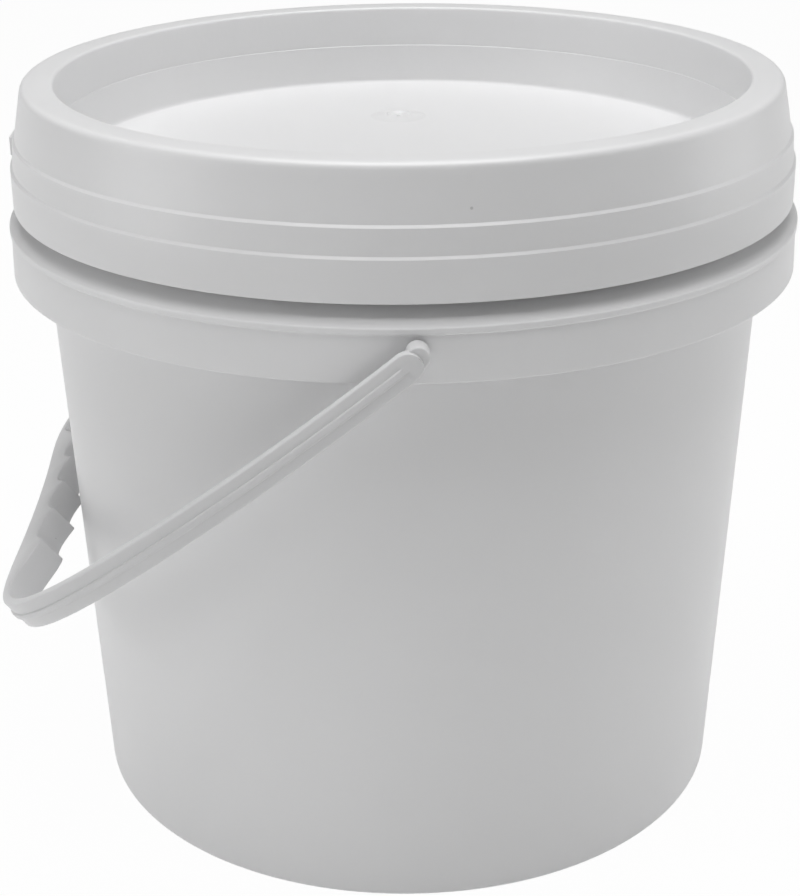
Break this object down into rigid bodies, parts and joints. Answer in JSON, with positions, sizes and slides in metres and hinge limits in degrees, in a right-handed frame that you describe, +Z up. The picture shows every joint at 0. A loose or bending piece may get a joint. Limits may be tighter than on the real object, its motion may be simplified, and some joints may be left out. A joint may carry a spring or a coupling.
{
  "type": "lidded pail",
  "caption": "Round tapered plastic pail with a banded ledge below its neck, a dished lid with a stepped skirt, and a swinging moulded handle with a scalloped grip.",
  "frame": {"origin": "centre of the foot ring, on the surface that the pail stands on", "axes": "+Z up, Y along the handle's pivots, the handle hanging towards -X"},
  "size_m": [0.268, 0.2806, 0.2508],
  "materials": {
    "tub_plastic": "semi-gloss white moulded plastic, slightly milky",
    "lid_plastic": "semi-gloss white moulded plastic",
    "handle_plastic": "semi-gloss white moulded plastic"
  },
  "bodies": {
    "bucket": {"bucket": "tub_plastic"},
    "lid": {"lid": "lid_plastic"},
    "handle": {"handle": "handle_plastic"}
  },
  "joints": [
    {"name": "handle_swing", "type": "hinge", "parent": "bucket", "child": "handle", "pos_m": [0, 0, 0.1988], "axis": [0, 1, 0], "range_deg": [0, 259]},
    {"name": "lid_lift", "type": "slide", "parent": "bucket", "child": "lid", "axis": [0, 0, 1], "range_m": [0, 0.1]}
  ]
}
